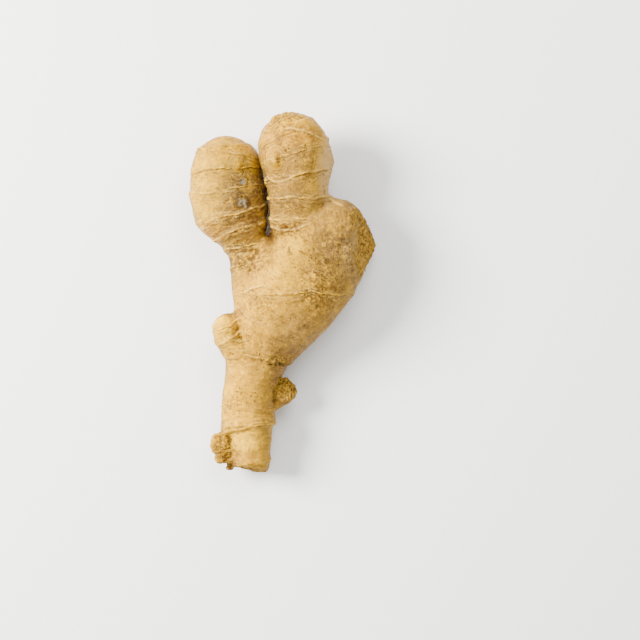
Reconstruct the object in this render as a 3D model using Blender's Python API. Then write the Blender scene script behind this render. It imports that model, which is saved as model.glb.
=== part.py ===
"""A fresh ginger rhizome, one grown piece, lying on its flattened side.

Run with: blender --background --python part.py
The plan is drawn from the middle of the footprint: +X to the right, +Y towards the two long
fingers, +Z up from the surface that the rhizome lies on. Design sizes are in millimetres.
"""

from collections import namedtuple

import bmesh
import bpy
import numpy as np
from mathutils import Vector, noise

MM = 0.001
SHAPE_NAME = "rhizome"

# Each lobe swells along a curved middle line. A station is (x, y, height of the middle, half width),
# from the root inside the body out to the tip. Flatness is thickness over width.
Lobe = namedtuple("Lobe", "stations flatness")
LOBES = {
    "body": Lobe(
        (
            (-14.4, -32.7, 13.0, 11.7),
            (-10.8, -24.6, 15.0, 15.5),
            (-4.5, -14.7, 16.8, 18.9),
            (3.1, -2.5, 18.3, 22.5),
            (11.2, 10.1, 18.8, 23.4),
            (18.4, 20.9, 19.1, 21.6),
        ),
        0.80,
    ),
    "shoulder": Lobe(
        (
            (18.0, 21.3, 17.8, 22.2),
            (26.0, 23.2, 17.2, 20.8),
            (30.6, 24.0, 16.6, 18.4),
            (34.4, 24.2, 15.8, 14.2),
            (37.8, 24.2, 15.0, 9.8),
            (41.0, 24.5, 14.2, 5.6),
        ),
        0.84,
    ),
    "scar_root": Lobe(
        (
            (22.0, 22.4, 17.0, 11.0),
            (32.0, 23.6, 16.8, 11.4),
            (41.0, 24.3, 16.6, 11.0),
        ),
        1.08,
    ),
    "trunk": Lobe(
        (
            (-9.0, -23.2, 14.6, 14.8),
            (-12.8, -33.6, 13.8, 13.3),
            (-14.7, -43.5, 12.3, 11.6),
            (-14.9, -51.6, 11.1, 11.7),
            (-14.9, -57.9, 11.4, 12.6),
            (-14.6, -61.0, 11.5, 12.2),
            (-14.2, -63.5, 11.6, 9.9),
            (-14.0, -68.2, 11.6, 9.1),
            (-13.3, -75.9, 11.4, 8.6),
        ),
        0.95,
    ),
    "side_bud": Lobe(
        (
            (-15.2, -31.4, 15.0, 9.4),
            (-18.6, -25.5, 18.0, 9.0),
            (-21.6, -20.1, 20.0, 8.2),
            (-23.4, -15.6, 21.6, 7.4),
        ),
        0.95,
    ),
    "under_bud": Lobe(
        (
            (3.0, -11.0, 12.0, 8.5),
            (8.0, -16.2, 8.4, 6.0),
        ),
        1.0,
    ),
    "stub": Lobe(
        (
            (-7.5, -48.6, 8.6, 6.5),
            (-2.4, -45.8, 9.8, 6.1),
            (1.8, -43.6, 12.6, 5.5),
        ),
        0.95,
    ),
    "husk": Lobe(
        (
            (-22.5, -68.4, 12.4, 3.9),
            (-28.5, -67.8, 12.9, 4.8),
        ),
        0.45,
    ),
    "husk_tail": Lobe(
        (
            (-21.8, -72.6, 11.3, 3.2),
            (-27.7, -74.2, 11.0, 2.9),
        ),
        0.60,
    ),
    "knob": Lobe(
        (
            (-20.4, -75.5, 10.5, 2.0),
            (-23.7, -78.5, 10.0, 1.9),
        ),
        1.0,
    ),
    "left_finger": Lobe(
        (
            (-9.0, -3.9, 17.0, 13.5),
            (-12.6, 6.0, 16.4, 10.9),
            (-14.4, 13.7, 15.6, 9.1),
            (-16.2, 20.4, 15.2, 9.2),
            (-18.7, 27.2, 15.2, 11.9),
            (-20.9, 32.1, 15.2, 14.4),
            (-23.3, 38.0, 15.2, 16.5),
            (-24.5, 45.2, 15.2, 17.3),
            (-25.2, 55.1, 15.6, 16.2),
        ),
        0.90,
    ),
    "long_finger": Lobe(
        (
            (10.8, 15.9, 19.0, 15.3),
            (8.1, 26.3, 19.8, 13.1),
            (7.7, 33.9, 20.6, 12.4),
            (7.7, 42.0, 21.8, 13.2),
            (7.5, 50.1, 22.8, 14.3),
            (7.2, 57.8, 23.6, 15.9),
            (5.7, 65.0, 24.2, 15.9),
        ),
        0.92,
    ),
}
FLOWING_LOBES = (
    "body",
    "shoulder",
    "scar_root",
    "trunk",
    "side_bud",
    "under_bud",
    "left_finger",
    "long_finger",
)
SITTING_LOBES = ("stub", "husk", "husk_tail", "knob")
FLOWING_SMOOTHING = 30  # rounds of smoothing, which fillet the places where lobes meet
SITTING_SMOOTHING = 3

# Broken ends: the lobes that end there, a point on the broken face, the way that it faces, and how
# far it reaches from that point.
Break = namedtuple("Break", "lobes point facing reach")
BREAKS = (
    Break(("body", "shoulder", "scar_root"), (37.6, 24.0, 17.0), (0.93, 0.09, 0.36), 24.0),
    Break(("trunk",), (-13.5, -79.6, 11.4), (-0.20, -0.97, 0.10), 12.0),
    Break(("stub",), (2.6, -42.8, 14.4), (0.35, 0.30, 0.89), 8.0),
)

# Leaf scars run round the lobes. Back is the distance from the lobe's tip; tilt and lean are the
# slopes of the ring's plane across the lobe and up through it; height is that of the ridge.
Ring = namedtuple("Ring", "lobe back tilt lean height")
RINGS = (
    Ring("left_finger", 5.5, 0.05, 0.00, 0.5),
    Ring("left_finger", 14.5, 0.00, 0.05, 0.4),
    Ring("left_finger", 24.5, 0.05, 0.00, 0.5),
    Ring("left_finger", 37.0, -0.12, 0.00, 0.6),
    Ring("left_finger", 44.5, -0.08, 0.05, 0.7),
    Ring("left_finger", 51.5, -0.14, 0.00, 0.5),
    Ring("left_finger", 61.0, -0.10, 0.00, 0.3),
    Ring("long_finger", 6.5, 0.22, 0.00, 0.5),
    Ring("long_finger", 15.0, 0.05, 0.00, 0.3),
    Ring("long_finger", 28.5, 0.10, 0.10, 0.4),
    Ring("long_finger", 38.0, 0.00, 0.05, 0.4),
    Ring("long_finger", 47.5, 0.00, 0.12, 0.7),
    Ring("trunk", 8.5, 0.00, 0.00, 0.3),
    Ring("trunk", 23.8, 0.05, 0.00, 0.8),
    Ring("trunk", 33.0, -0.05, 0.00, 0.3),
    Ring("trunk", 57.0, 0.12, 0.00, 0.6),
    Ring("body", 45.5, 0.60, 0.00, 0.4),
    Ring("side_bud", 4.2, 0.00, 0.00, 0.3),
    Ring("side_bud", 9.5, 0.15, 0.00, 0.5),
    Ring("under_bud", 3.6, 0.00, 0.00, 0.4),
    Ring("under_bud", 8.0, 0.00, 0.00, 0.5),
    Ring("stub", 6.5, 0.00, 0.00, 0.4),
)
ROOT_SIDE = 1.9  # each ridge falls away gently towards the root, and steeply towards the tip
TIP_SIDE = 0.75
GROOVE = 0.45  # depth of the groove under a ridge's tip side, as a share of its height
GROOVE_OFFSET = 1.7
RING_WANDER = ((9.0, 1.2), (2.5, 0.3))  # (size, amount) of a ring's wandering along the lobe
RING_VARIATION = (12.0, 0.5)  # (size, share) of a ridge's changes of height on its way round
RING_FADE = 3.0  # a ring dies away over this much, where another lobe takes over the surface

# Buds on the skin: (x, y, z, half width, swelling). Two scale leaves ring each one.
BUDS = (
    (-3.3, 59.8, 35.0, 4.8, 1.5),
    (-2.0, 77.0, 29.0, 3.6, 1.0),
    (-19.6, 57.8, 29.0, 3.0, 0.7),
    (21.0, 58.5, 20.0, 3.4, 0.8),
    (-38.0, 36.0, 10.0, 4.0, 1.0),
    (2.0, 52.0, 9.0, 4.2, 1.2),
    (26.0, 2.0, 8.0, 4.4, 1.2),
    (-22.0, -40.0, 6.0, 3.4, 0.9),
)
BUD_SPREAD = 0.79  # share of the half width over which the swelling falls to a third
SCALE_RIMS = ((0.55, 0.30), (1.10, 0.35))  # (share of the bud's half width, height)
SCALE_RIM_WIDTH = 0.6

# Long furrows (height below 0) and swellings on the upper side: points (x, y) on the line.
Stroke = namedtuple("Stroke", "line half_width height")
STROKES = (
    Stroke(((-6.3, 27.0), (-4.2, 21.7), (-3.5, 14.8)), 2.4, -1.5),
    Stroke(((-1.5, 7.5), (1.5, 15.5), (9.5, 23.0)), 5.5, 1.1),
    Stroke(((-2.3, 28.0), (6.0, 29.0), (13.7, 32.0)), 2.6, -0.8),
    Stroke(((-22.0, -9.5), (-19.8, -15.6), (-18.6, -20.0)), 1.8, -1.0),
    Stroke(((17.0, 35.0), (24.0, 30.0), (28.0, 22.0)), 4.0, -0.6),
    Stroke(((-8.0, -8.0), (-8.0, -18.0), (-12.0, -28.0)), 3.5, -0.6),
)
STROKE_RISE = (12.0, 18.0)  # the strokes come in between these heights

# Slow unevenness of the skin, and lumps and grain on the broken faces: (size of a lump, height)
LUMPS = ((16.0, 1.00), (7.0, 0.50), (3.6, 0.20))
LUMP_OFFSET = 50.0  # sets the lumps apart from the rings' wandering
BREAK_GRAIN = ((7.0, 1.30), (2.6, 0.55))
BREAK_DEPTH = 0.8  # the grain dies away this far from a broken face

VOXEL = 0.7
PATH_STEP = 1.5
SIDES = 32
CAP_RINGS = 6
MOST_TRIANGLES = 11_400
REST_BITE = 0.30  # skin lower than this is pressed flat where the rhizome rests

SKIN_COLOUR = (0.66, 0.42, 0.16, 1.0)
SKIN_ROUGHNESS = 0.55


def clear_scene():
    for obj in list(bpy.data.objects):
        bpy.data.objects.remove(obj, do_unlink=True)


def smooth_path(stations):
    """Points every PATH_STEP or so along a smooth curve through the stations, with their half widths."""
    knots = np.array(stations, float)
    ends = np.vstack([2 * knots[0] - knots[1], knots, 2 * knots[-1] - knots[-2]])
    path = []
    for before, start, stop, after in zip(ends, ends[1:], ends[2:], ends[3:]):
        count = max(2, int(np.linalg.norm(stop[:3] - start[:3]) / PATH_STEP))
        for t in np.arange(count) / count:
            linear = (stop - before) * t
            square = (2 * before - 5 * start + 4 * stop - after) * t**2
            cube = (3 * start - before - 3 * stop + after) * t**3
            path.append(start + 0.5 * (linear + square + cube))
    path.append(knots[-1])
    return np.array(path)


def measure_lobe(points, lobe):
    """For each point: its height over the lobe's skin, and its distance back from the lobe's tip."""
    path = smooth_path(lobe.stations)
    squash = np.array([1.0, 1.0, 1.0 / lobe.flatness])
    places = points * squash
    middle = path[:, :3] * squash
    lengths = np.linalg.norm(np.diff(middle, axis=0), axis=1)
    behind_tip = lengths.sum() + path[-1, 3] - np.concatenate([[0.0], np.cumsum(lengths)])
    nearest = np.full(len(points), np.inf)
    width = np.zeros(len(points))
    back = np.zeros(len(points))
    for i, length in enumerate(lengths):
        run = (middle[i + 1] - middle[i]) / length
        offset = places - middle[i]
        along = offset @ run
        held = np.clip(along, 0.0, length)
        square = (offset**2).sum(1) - along**2 + (along - held) ** 2
        closer = square < nearest
        nearest = np.where(closer, square, nearest)
        share = held / length
        width = np.where(closer, path[i, 3] * (1 - share) + path[i + 1, 3] * share, width)
        back = np.where(closer, behind_tip[i] - along, back)
    return np.sqrt(np.maximum(nearest, 0.0)) - width, back


def loft(lobe):
    """A closed tube along the lobe's path, with round ends, as a bmesh in metres."""
    path = smooth_path(lobe.stations)
    headings = np.gradient(path[:, :3], axis=0)
    headings /= np.linalg.norm(headings, axis=1)[:, None]
    turns = np.linspace(0, np.pi / 2, CAP_RINGS, endpoint=False)[1:]
    sections = [(path[0], headings[0], -turn) for turn in turns[::-1]]
    sections += [(station, heading, 0.0) for station, heading in zip(path, headings)]
    sections += [(path[-1], headings[-1], turn) for turn in turns]
    bm = bmesh.new()
    rings = []
    for station, heading, turn in sections:
        half_width = station[3] * np.cos(turn)
        middle = station[:3] + heading * station[3] * np.sin(turn)
        across = np.array([heading[1], -heading[0], 0.0]) / np.linalg.norm(heading[:2])
        upward = np.cross(across, heading) * lobe.flatness
        ring = []
        for angle in np.arange(SIDES) * 2 * np.pi / SIDES:
            spot = middle + half_width * (across * np.cos(angle) + upward * np.sin(angle))
            ring.append(bm.verts.new(spot * MM))
        rings.append(ring)
    for near, far in zip(rings, rings[1:]):
        for i in range(SIDES):
            bm.faces.new((near[i - 1], near[i], far[i], far[i - 1]))
    for end, side in ((0, -1), (-1, 1)):
        pole = bm.verts.new((path[end, :3] + side * headings[end] * path[end, 3]) * MM)
        for i in range(SIDES):
            bm.faces.new((rings[end][i - 1], rings[end][i], pole))
    bmesh.ops.recalc_face_normals(bm, faces=bm.faces)
    return bm


def break_off(bm, cut):
    """Ends a lobe at a broken face."""
    everything = bm.verts[:] + bm.edges[:] + bm.faces[:]
    point = Vector(cut.point) * MM
    facing = Vector(cut.facing)
    bmesh.ops.bisect_plane(bm, geom=everything, plane_co=point, plane_no=facing, clear_outer=True)
    rim = [edge for edge in bm.edges if edge.is_boundary]
    bmesh.ops.holes_fill(bm, edges=rim, sides=0)
    bmesh.ops.recalc_face_normals(bm, faces=bm.faces)


def fuse(rhizome, lobe_names, smoothing):
    """Grows lobes out of the rhizome: one skin over all of them, with fillets where they meet."""
    bm = bmesh.new()
    bm.from_mesh(rhizome.data)
    for name in lobe_names:
        lobe = loft(LOBES[name])
        for cut in BREAKS:
            if name in cut.lobes:
                break_off(lobe, cut)
        single = bpy.data.meshes.new(name)
        lobe.to_mesh(single)
        bm.from_mesh(single)
        bpy.data.meshes.remove(single)
    bm.to_mesh(rhizome.data)
    skin = rhizome.modifiers.new("one_skin", "REMESH")
    skin.mode = "VOXEL"
    skin.voxel_size = VOXEL * MM
    fillets = rhizome.modifiers.new("fillets", "SMOOTH")
    fillets.factor = 0.5
    fillets.iterations = smoothing
    apply_modifiers(rhizome)


def apply_modifiers(rhizome):
    graph = bpy.context.evaluated_depsgraph_get()
    rhizome.data = bpy.data.meshes.new_from_object(rhizome.evaluated_get(graph))
    rhizome.modifiers.clear()


def uneven(points, size):
    """Smooth unevenness from about -1 to 1, with lumps of a size."""
    return np.array([noise.noise(Vector(point) / size) for point in points])


def ring_relief(points):
    """Height of the leaf scars: a ridge, steep towards the tip, with a groove under that side."""
    measured = {name: measure_lobe(points, lobe) for name, lobe in LOBES.items()}
    wander = sum(amount * uneven(points, size) for size, amount in RING_WANDER)
    strength = 1 + RING_VARIATION[1] * uneven(points, RING_VARIATION[0])
    relief = np.zeros(len(points))
    for ring in RINGS:
        height, back = measured[ring.lobe]
        others = np.min([measured[name][0] for name in LOBES if name != ring.lobe], axis=0)
        own = np.clip(1 + (others - height) / RING_FADE, 0, 1)
        path = smooth_path(LOBES[ring.lobe].stations)
        tip = path[-1, :3]
        heading = tip - path[len(path) // 2, :3]
        across = np.array([heading[1], -heading[0], 0.0]) / np.linalg.norm(heading[:2])
        slant = ring.tilt * ((points - tip) @ across) + ring.lean * (points[:, 2] - tip[2])
        place = back - ring.back + slant + wander
        ridge = np.exp(-((place / np.where(place > 0, ROOT_SIDE, TIP_SIDE)) ** 2))
        groove = GROOVE * np.exp(-(((place + GROOVE_OFFSET) / TIP_SIDE) ** 2))
        relief += own * strength * ring.height * (ridge - groove)
    return relief


def bud_relief(points):
    """Height of the buds: a low dome with scale leaves round it."""
    relief = np.zeros(len(points))
    for x, y, z, half_width, swelling in BUDS:
        nearest = points[np.argmin(((points - (x, y, z)) ** 2).sum(1))]
        reach = np.linalg.norm(points - nearest, axis=1)
        relief += swelling * np.exp(-((reach / (BUD_SPREAD * half_width)) ** 2))
        for share, height in SCALE_RIMS:
            relief += height * np.exp(-(((reach - share * half_width) / SCALE_RIM_WIDTH) ** 2))
    return relief


def stroke_relief(points):
    """Height of the furrows and swellings."""
    low, high = STROKE_RISE
    above = np.clip((points[:, 2] - low) / (high - low), 0, 1)
    relief = np.zeros(len(points))
    for stroke in STROKES:
        nearest = np.full(len(points), np.inf)
        corners = np.array(stroke.line)
        for start, stop in zip(corners, corners[1:]):
            run = stop - start
            offset = points[:, :2] - start
            share = np.clip(offset @ run / (run @ run), 0, 1)
            reach = np.linalg.norm(offset - share[:, None] * run, axis=1)
            nearest = np.minimum(nearest, reach)
        relief += above * stroke.height * np.exp(-((nearest / stroke.half_width) ** 2))
    return relief


def broken_relief(points):
    """Height of the lumps and the grain on the broken faces."""
    grain = sum(height * uneven(points, size) for size, height in BREAK_GRAIN)
    relief = np.zeros(len(points))
    for cut in BREAKS:
        offset = points - np.array(cut.point)
        near = np.linalg.norm(offset, axis=1) < cut.reach
        off_face = offset @ np.array(cut.facing) / np.linalg.norm(cut.facing)
        relief += near * grain * np.exp(-((off_face / BREAK_DEPTH) ** 2))
    return relief


def lump_relief(points):
    """Height of the slow lumps all over."""
    return sum(height * uneven(points + LUMP_OFFSET, size) for size, height in LUMPS)


def skin_material():
    material = bpy.data.materials.new("ginger_skin")
    material.use_nodes = True
    shader = material.node_tree.nodes["Principled BSDF"]
    shader.inputs["Base Color"].default_value = SKIN_COLOUR
    shader.inputs["Roughness"].default_value = SKIN_ROUGHNESS
    shader.inputs["Metallic"].default_value = 0.0
    return material


def press_flat(mesh):
    """The rhizome's own weight flattens its lowest skin where it rests."""
    for vertex in mesh.vertices:
        if vertex.co.z < REST_BITE * MM:
            vertex.co.z = 0.0


def build_rhizome():
    rhizome = bpy.data.objects.new(SHAPE_NAME, bpy.data.meshes.new(SHAPE_NAME))
    bpy.context.scene.collection.objects.link(rhizome)
    fuse(rhizome, FLOWING_LOBES, FLOWING_SMOOTHING)
    fuse(rhizome, SITTING_LOBES, SITTING_SMOOTHING)

    mesh = rhizome.data
    points = np.empty(len(mesh.vertices) * 3)
    mesh.vertices.foreach_get("co", points)
    points = points.reshape(-1, 3) / MM
    normals = np.empty(len(mesh.vertices) * 3)
    mesh.vertices.foreach_get("normal", normals)
    kinds = (ring_relief, bud_relief, stroke_relief, broken_relief, lump_relief)
    relief = sum(kind(points) for kind in kinds)
    shaped = points + normals.reshape(-1, 3) * relief[:, None]
    mesh.vertices.foreach_set("co", (shaped * MM).ravel())

    thinner = rhizome.modifiers.new("fewer_faces", "DECIMATE")
    thinner.ratio = MOST_TRIANGLES / (2 * len(mesh.polygons))
    thinner.use_collapse_triangulate = True
    apply_modifiers(rhizome)

    press_flat(rhizome.data)
    rhizome.data.materials.append(skin_material())
    rhizome.data.shade_smooth()
    return rhizome


clear_scene()
build_rhizome()
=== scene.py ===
"""The looks of a fresh ginger rhizome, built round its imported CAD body.

The CAD body gives the form. One finer skin replaces it, with crisp leaf scars, buds, warts and
broken ends, and dry scale edges and root fibres stand on that skin. Design sizes are millimetres.
"""
import math
import random
from collections import namedtuple

import bpy
import numpy as np
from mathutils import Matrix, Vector, noise


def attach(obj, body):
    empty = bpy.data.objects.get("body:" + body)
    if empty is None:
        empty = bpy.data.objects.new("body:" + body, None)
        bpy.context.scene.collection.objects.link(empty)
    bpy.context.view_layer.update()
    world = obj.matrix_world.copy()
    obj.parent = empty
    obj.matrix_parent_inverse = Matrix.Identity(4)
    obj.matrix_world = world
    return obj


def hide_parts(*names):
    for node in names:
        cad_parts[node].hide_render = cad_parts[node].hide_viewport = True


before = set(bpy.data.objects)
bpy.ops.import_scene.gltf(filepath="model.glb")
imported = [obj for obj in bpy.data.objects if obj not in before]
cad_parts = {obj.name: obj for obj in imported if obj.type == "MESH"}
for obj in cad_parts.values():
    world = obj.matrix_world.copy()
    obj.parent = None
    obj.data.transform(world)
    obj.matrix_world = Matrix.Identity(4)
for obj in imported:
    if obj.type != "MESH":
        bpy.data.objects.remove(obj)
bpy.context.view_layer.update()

MM = 0.001

# The CAD body's lobes: stations (x, y, height of the middle, half width) from root to tip, and
# thickness over width. Rings and grain are laid out along them.
Lobe = namedtuple("Lobe", "stations flatness")
LOBES = {
    "body": Lobe(
        (
            (-14.4, -32.7, 13.0, 11.7),
            (-10.8, -24.6, 15.0, 15.5),
            (-4.5, -14.7, 16.8, 18.9),
            (3.1, -2.5, 18.3, 22.5),
            (11.2, 10.1, 18.8, 23.4),
            (18.4, 20.9, 19.1, 21.6),
        ),
        0.80,
    ),
    "shoulder": Lobe(
        (
            (18.0, 21.3, 17.8, 22.2),
            (26.0, 23.2, 17.2, 20.8),
            (30.6, 24.0, 16.6, 18.4),
            (34.4, 24.2, 15.8, 14.2),
            (37.8, 24.2, 15.0, 9.8),
            (41.0, 24.5, 14.2, 5.6),
        ),
        0.84,
    ),
    "trunk": Lobe(
        (
            (-9.0, -23.2, 14.6, 14.8),
            (-12.8, -33.6, 13.8, 13.3),
            (-14.7, -43.5, 12.3, 11.6),
            (-14.9, -51.6, 11.1, 11.7),
            (-14.9, -57.9, 11.4, 12.6),
            (-14.6, -61.0, 11.5, 12.2),
            (-14.2, -63.5, 11.6, 9.9),
            (-14.0, -68.2, 11.6, 9.1),
            (-13.3, -75.9, 11.4, 8.6),
        ),
        0.95,
    ),
    "side_bud": Lobe(
        (
            (-15.2, -31.4, 15.0, 9.4),
            (-18.6, -25.5, 18.0, 9.0),
            (-21.6, -20.1, 20.0, 8.2),
            (-23.4, -15.6, 21.6, 7.4),
        ),
        0.95,
    ),
    "stub": Lobe(
        (
            (-7.5, -48.6, 8.6, 6.5),
            (-2.4, -45.8, 9.8, 6.1),
            (1.8, -43.6, 12.6, 5.5),
        ),
        0.95,
    ),
    "husk": Lobe(
        (
            (-22.5, -68.4, 12.4, 3.9),
            (-28.5, -67.8, 12.9, 4.8),
        ),
        0.45,
    ),
    "husk_tail": Lobe(
        (
            (-21.8, -72.6, 11.3, 3.2),
            (-27.7, -74.2, 11.0, 2.9),
        ),
        0.60,
    ),
    "left_finger": Lobe(
        (
            (-9.0, -3.9, 17.0, 13.5),
            (-12.6, 6.0, 16.4, 10.9),
            (-14.4, 13.7, 15.6, 9.1),
            (-16.2, 20.4, 15.2, 9.2),
            (-18.7, 27.2, 15.2, 11.9),
            (-20.9, 32.1, 15.2, 14.4),
            (-23.3, 38.0, 15.2, 16.5),
            (-24.5, 45.2, 15.2, 17.3),
            (-25.2, 55.1, 15.6, 16.2),
        ),
        0.90,
    ),
    "long_finger": Lobe(
        (
            (10.8, 15.9, 19.0, 15.3),
            (8.1, 26.3, 19.8, 13.1),
            (7.7, 33.9, 20.6, 12.4),
            (7.7, 42.0, 21.8, 13.2),
            (7.5, 50.1, 22.8, 14.3),
            (7.2, 57.8, 23.6, 15.9),
            (5.7, 65.0, 24.2, 15.9),
        ),
        0.92,
    ),
}
PATH_STEP = 1.5

# Leaf scars: distance back from the lobe's tip, slopes of the ring's plane across the lobe and up
# through it, height of the lip, how pale the lip is and how dark the line below it is.
# The line below each lip is dark cork, and in part the lip's painted shadow.
Ring = namedtuple("Ring", "lobe back tilt lean height pale dark")
RINGS = (
    Ring("left_finger", 8.5, -0.25, 0.10, 0.20, 1.0, 0.6),
    Ring("left_finger", 16.0, 0.00, 0.05, 0.15, 0.3, 1.0),
    Ring("left_finger", 24.5, 0.05, 0.00, 0.12, 0.6, 0.6),
    Ring("left_finger", 37.0, -0.12, 0.00, 0.18, 1.0, 0.9),
    Ring("left_finger", 44.5, -0.08, 0.05, 0.15, 1.0, 0.8),
    Ring("left_finger", 51.5, -0.14, 0.00, 0.18, 1.0, 1.0),
    Ring("left_finger", 61.0, -0.10, 0.00, 0.10, 0.4, 0.5),
    Ring("long_finger", 15.4, 0.05, 0.50, 0.14, 0.4, 0.5),
    Ring("long_finger", 19.8, 0.05, 0.15, 0.12, 0.7, 0.5),
    Ring("long_finger", 28.5, 0.10, 0.10, 0.12, 0.6, 0.7),
    Ring("long_finger", 38.0, 0.00, 0.05, 0.14, 0.8, 0.7),
    Ring("long_finger", 47.5, 0.00, 0.12, 0.22, 1.0, 1.0),
    Ring("trunk", 8.5, 0.00, 0.00, 0.08, 0.3, 0.4),
    Ring("trunk", 23.8, 0.05, 0.00, 0.20, 0.8, 1.0),
    Ring("trunk", 33.0, -0.05, 0.00, 0.10, 0.4, 0.5),
    Ring("trunk", 57.0, 0.12, 0.00, 0.16, 0.5, 0.9),
    Ring("body", 45.5, 0.60, 0.00, 0.12, 0.7, 0.8),
    Ring("side_bud", 4.2, 0.00, 0.00, 0.15, 0.8, 0.7),
    Ring("side_bud", 9.5, 0.15, 0.00, 0.15, 0.7, 0.9),
    Ring("stub", 6.5, 0.00, 0.00, 0.20, 0.5, 1.0),
)
RING_WANDER = ((9.0, 1.2), (2.5, 0.3))  # as in the CAD body
FINE_WANDER = (0.9, 0.22)
# Each leaf scar is a few wavy papery edges: (offset towards the root, strength, waviness)
STRANDS = ((0.0, 1.0, 0.25), (1.4, 0.6, 0.8), (-1.6, 0.4, 0.8), (3.1, 0.4, 1.3))
STRAND_WAVE = 3.2  # length of a strand's waves
STRAND_GAPS = (4.2, -0.30, 0.22, 0.15)  # size of its gaps, band over which it shows, least strength
RING_FADE = 3.0
# Across a papery edge: it dies away towards the root and ends steeply, with a groove below it.
EDGE_END = (-0.35, 0.05)
EDGE_LENGTH = 0.9
EDGE_GROOVE = (0.7, 0.4, 0.5)  # (offset, width, share of the edge's height)
EDGE_PALE = (-0.1, 0.30)  # (offset, width)
EDGE_DARK = (0.7, 0.50)

# Buds: (x, y, z, half width, swelling, how yellow)
BUDS = (
    (-2.4, 58.2, 35.2, 2.7, 0.8, 1.0),
    (-2.0, 76.0, 29.0, 2.8, 0.5, 0.7),
    (-19.2, 56.9, 29.0, 2.2, 0.4, 1.0),
    (21.0, 58.5, 20.0, 3.4, 0.3, 0.4),
    (-38.0, 36.0, 10.0, 4.0, 0.3, 0.4),
    (2.0, 52.0, 9.0, 4.2, 0.4, 0.6),
    (26.0, 2.0, 8.0, 4.4, 0.4, 0.5),
    (-22.0, -40.0, 6.0, 3.4, 0.3, 0.4),
)
BUD_LIE = (1.0, 0.65, 1.0)  # buds are longer along the hand
BUD_UNEVEN = (2.6, 0.45)  # (size, amount)
SCALE_RIMS = (1.0, 1.45, 1.85)  # scale edges round a bud, as shares of its half width
SCALE_RIM = (0.25, 0.12)  # (width, height)
SCALE_GROOVE = (0.5, 0.35)  # the dark line outside each: (offset, width)

# Broken faces: a point, the way that it faces, its reach.
BREAKS = (
    ((37.6, 24.0, 17.0), (0.93, 0.09, 0.36), 24.0),
    ((-13.5, -79.6, 11.4), (-0.20, -0.97, 0.10), 9.8),
    ((2.6, -42.8, 14.4), (0.35, 0.30, 0.89), 8.0),
)

# Patches on the upper side: (x, y, reach in x, reach in y, strength)
PATCHES = {
    "specks": (
        (-19.8, 42.9, 6.0, 7.5, 0.5),
        (-1.2, 58.6, 1.3, 3.0, 2.2),
        (1.5, 61.0, 2.5, 4.5, 0.8),
        (10.0, 66.0, 9.0, 9.0, 0.35),
        (-28.0, -69.0, 5.0, 7.0, 0.7),
        (-19.8, 31.0, 8.0, 5.0, 0.5),
        (2.5, 20.0, 3.5, 2.5, 0.8),
        (12.6, 17.0, 5.0, 3.5, 0.6),
        (28.0, 16.0, 6.0, 8.0, 0.7),
        (13.5, -0.5, 9.0, 7.0, 0.9),
        (-13.0, 0.5, 5.0, 2.5, 0.9),
        (-9.5, -23.9, 2.5, 4.5, 1.0),
        (0.0, -25.2, 1.8, 2.2, 0.9),
        (-21.6, -27.0, 2.0, 2.0, 0.7),
        (-15.0, -47.5, 6.5, 6.5, 0.5),
        (11.5, 48.5, 3.0, 3.0, 0.6),
        (3.0, 27.5, 7.5, 3.5, 0.7),
        (35.0, 24.0, 4.0, 14.0, 0.5),
    ),
    "net": (
        (-14.0, 15.0, 9.0, 7.5, 1.0),
        (16.0, 3.0, 9.0, 11.0, 0.9),
        (-20.0, -20.0, 7.0, 6.0, 0.7),
        (6.0, 27.0, 9.0, 5.0, 0.8),
        (-10.0, -6.0, 10.0, 5.0, 0.6),
        (-20.0, 30.0, 9.0, 3.0, 0.6),
        (3.0, 75.0, 10.0, 5.0, 0.8),
        (24.0, 22.0, 8.0, 10.0, 0.5),
        (-24.0, -52.0, 8.0, 8.0, 0.4),
    ),
    "ragged": (
        (-28.0, -68.5, 6.5, 6.5, 1.0),
        (-27.0, -74.5, 4.5, 3.5, 1.0),
        (-23.5, -78.5, 3.6, 3.0, 1.0),
        (-30.0, 27.0, 4.0, 3.0, 0.4),
        (2.6, -42.0, 5.5, 4.5, 0.8),
        (-3.0, -30.8, 7.5, 2.2, 0.6),
        (2.0, 28.0, 8.0, 2.4, 0.4),
        (38.0, 24.0, 5.0, 14.0, 0.4),
    ),
    "dark": (
        (-24.0, -78.3, 2.6, 2.4, 0.85),
        # Painted shade at the foot of the gap between the fingers.
        (-5.2, 25.4, 1.9, 2.6, 0.95),
        (-1.3, 59.0, 1.0, 2.2, 0.55),
        (-0.6, -38.4, 2.6, 1.6, 0.6),
        (-23.2, -66.0, 0.9, 3.2, 0.6),
        (-26.5, -8.9, 3.6, 1.0, 0.45),
        (40.6, 28.0, 2.0, 3.5, 0.35),
    ),
    # Painted shade: a greyer, less yellow tone on the right-hand sides that lie in shade.
    "shade_grey": (
        (20.0, 53.0, 4.0, 13.0, 0.45),
        (34.0, 20.0, 7.0, 14.0, 0.20),
        (8.0, -20.0, 9.0, 9.0, 0.06),
    ),
    "warts": (
        (1.8, 78.0, 7.0, 3.5, 1.0),
        (-3.0, -30.8, 7.5, 2.4, 1.0),
        (1.5, -40.5, 5.0, 3.0, 0.8),
        (-12.0, 0.0, 5.0, 2.0, 0.5),
        (-21.6, -70.5, 4.0, 5.0, 0.8),
        (2.0, 28.5, 7.0, 3.0, 0.5),
        (14.0, -1.0, 7.0, 5.0, 0.4),
        (-16.0, 35.0, 9.0, 2.5, 0.5),
        (24.0, 36.0, 6.0, 3.0, 0.4),
    ),
}

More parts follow.
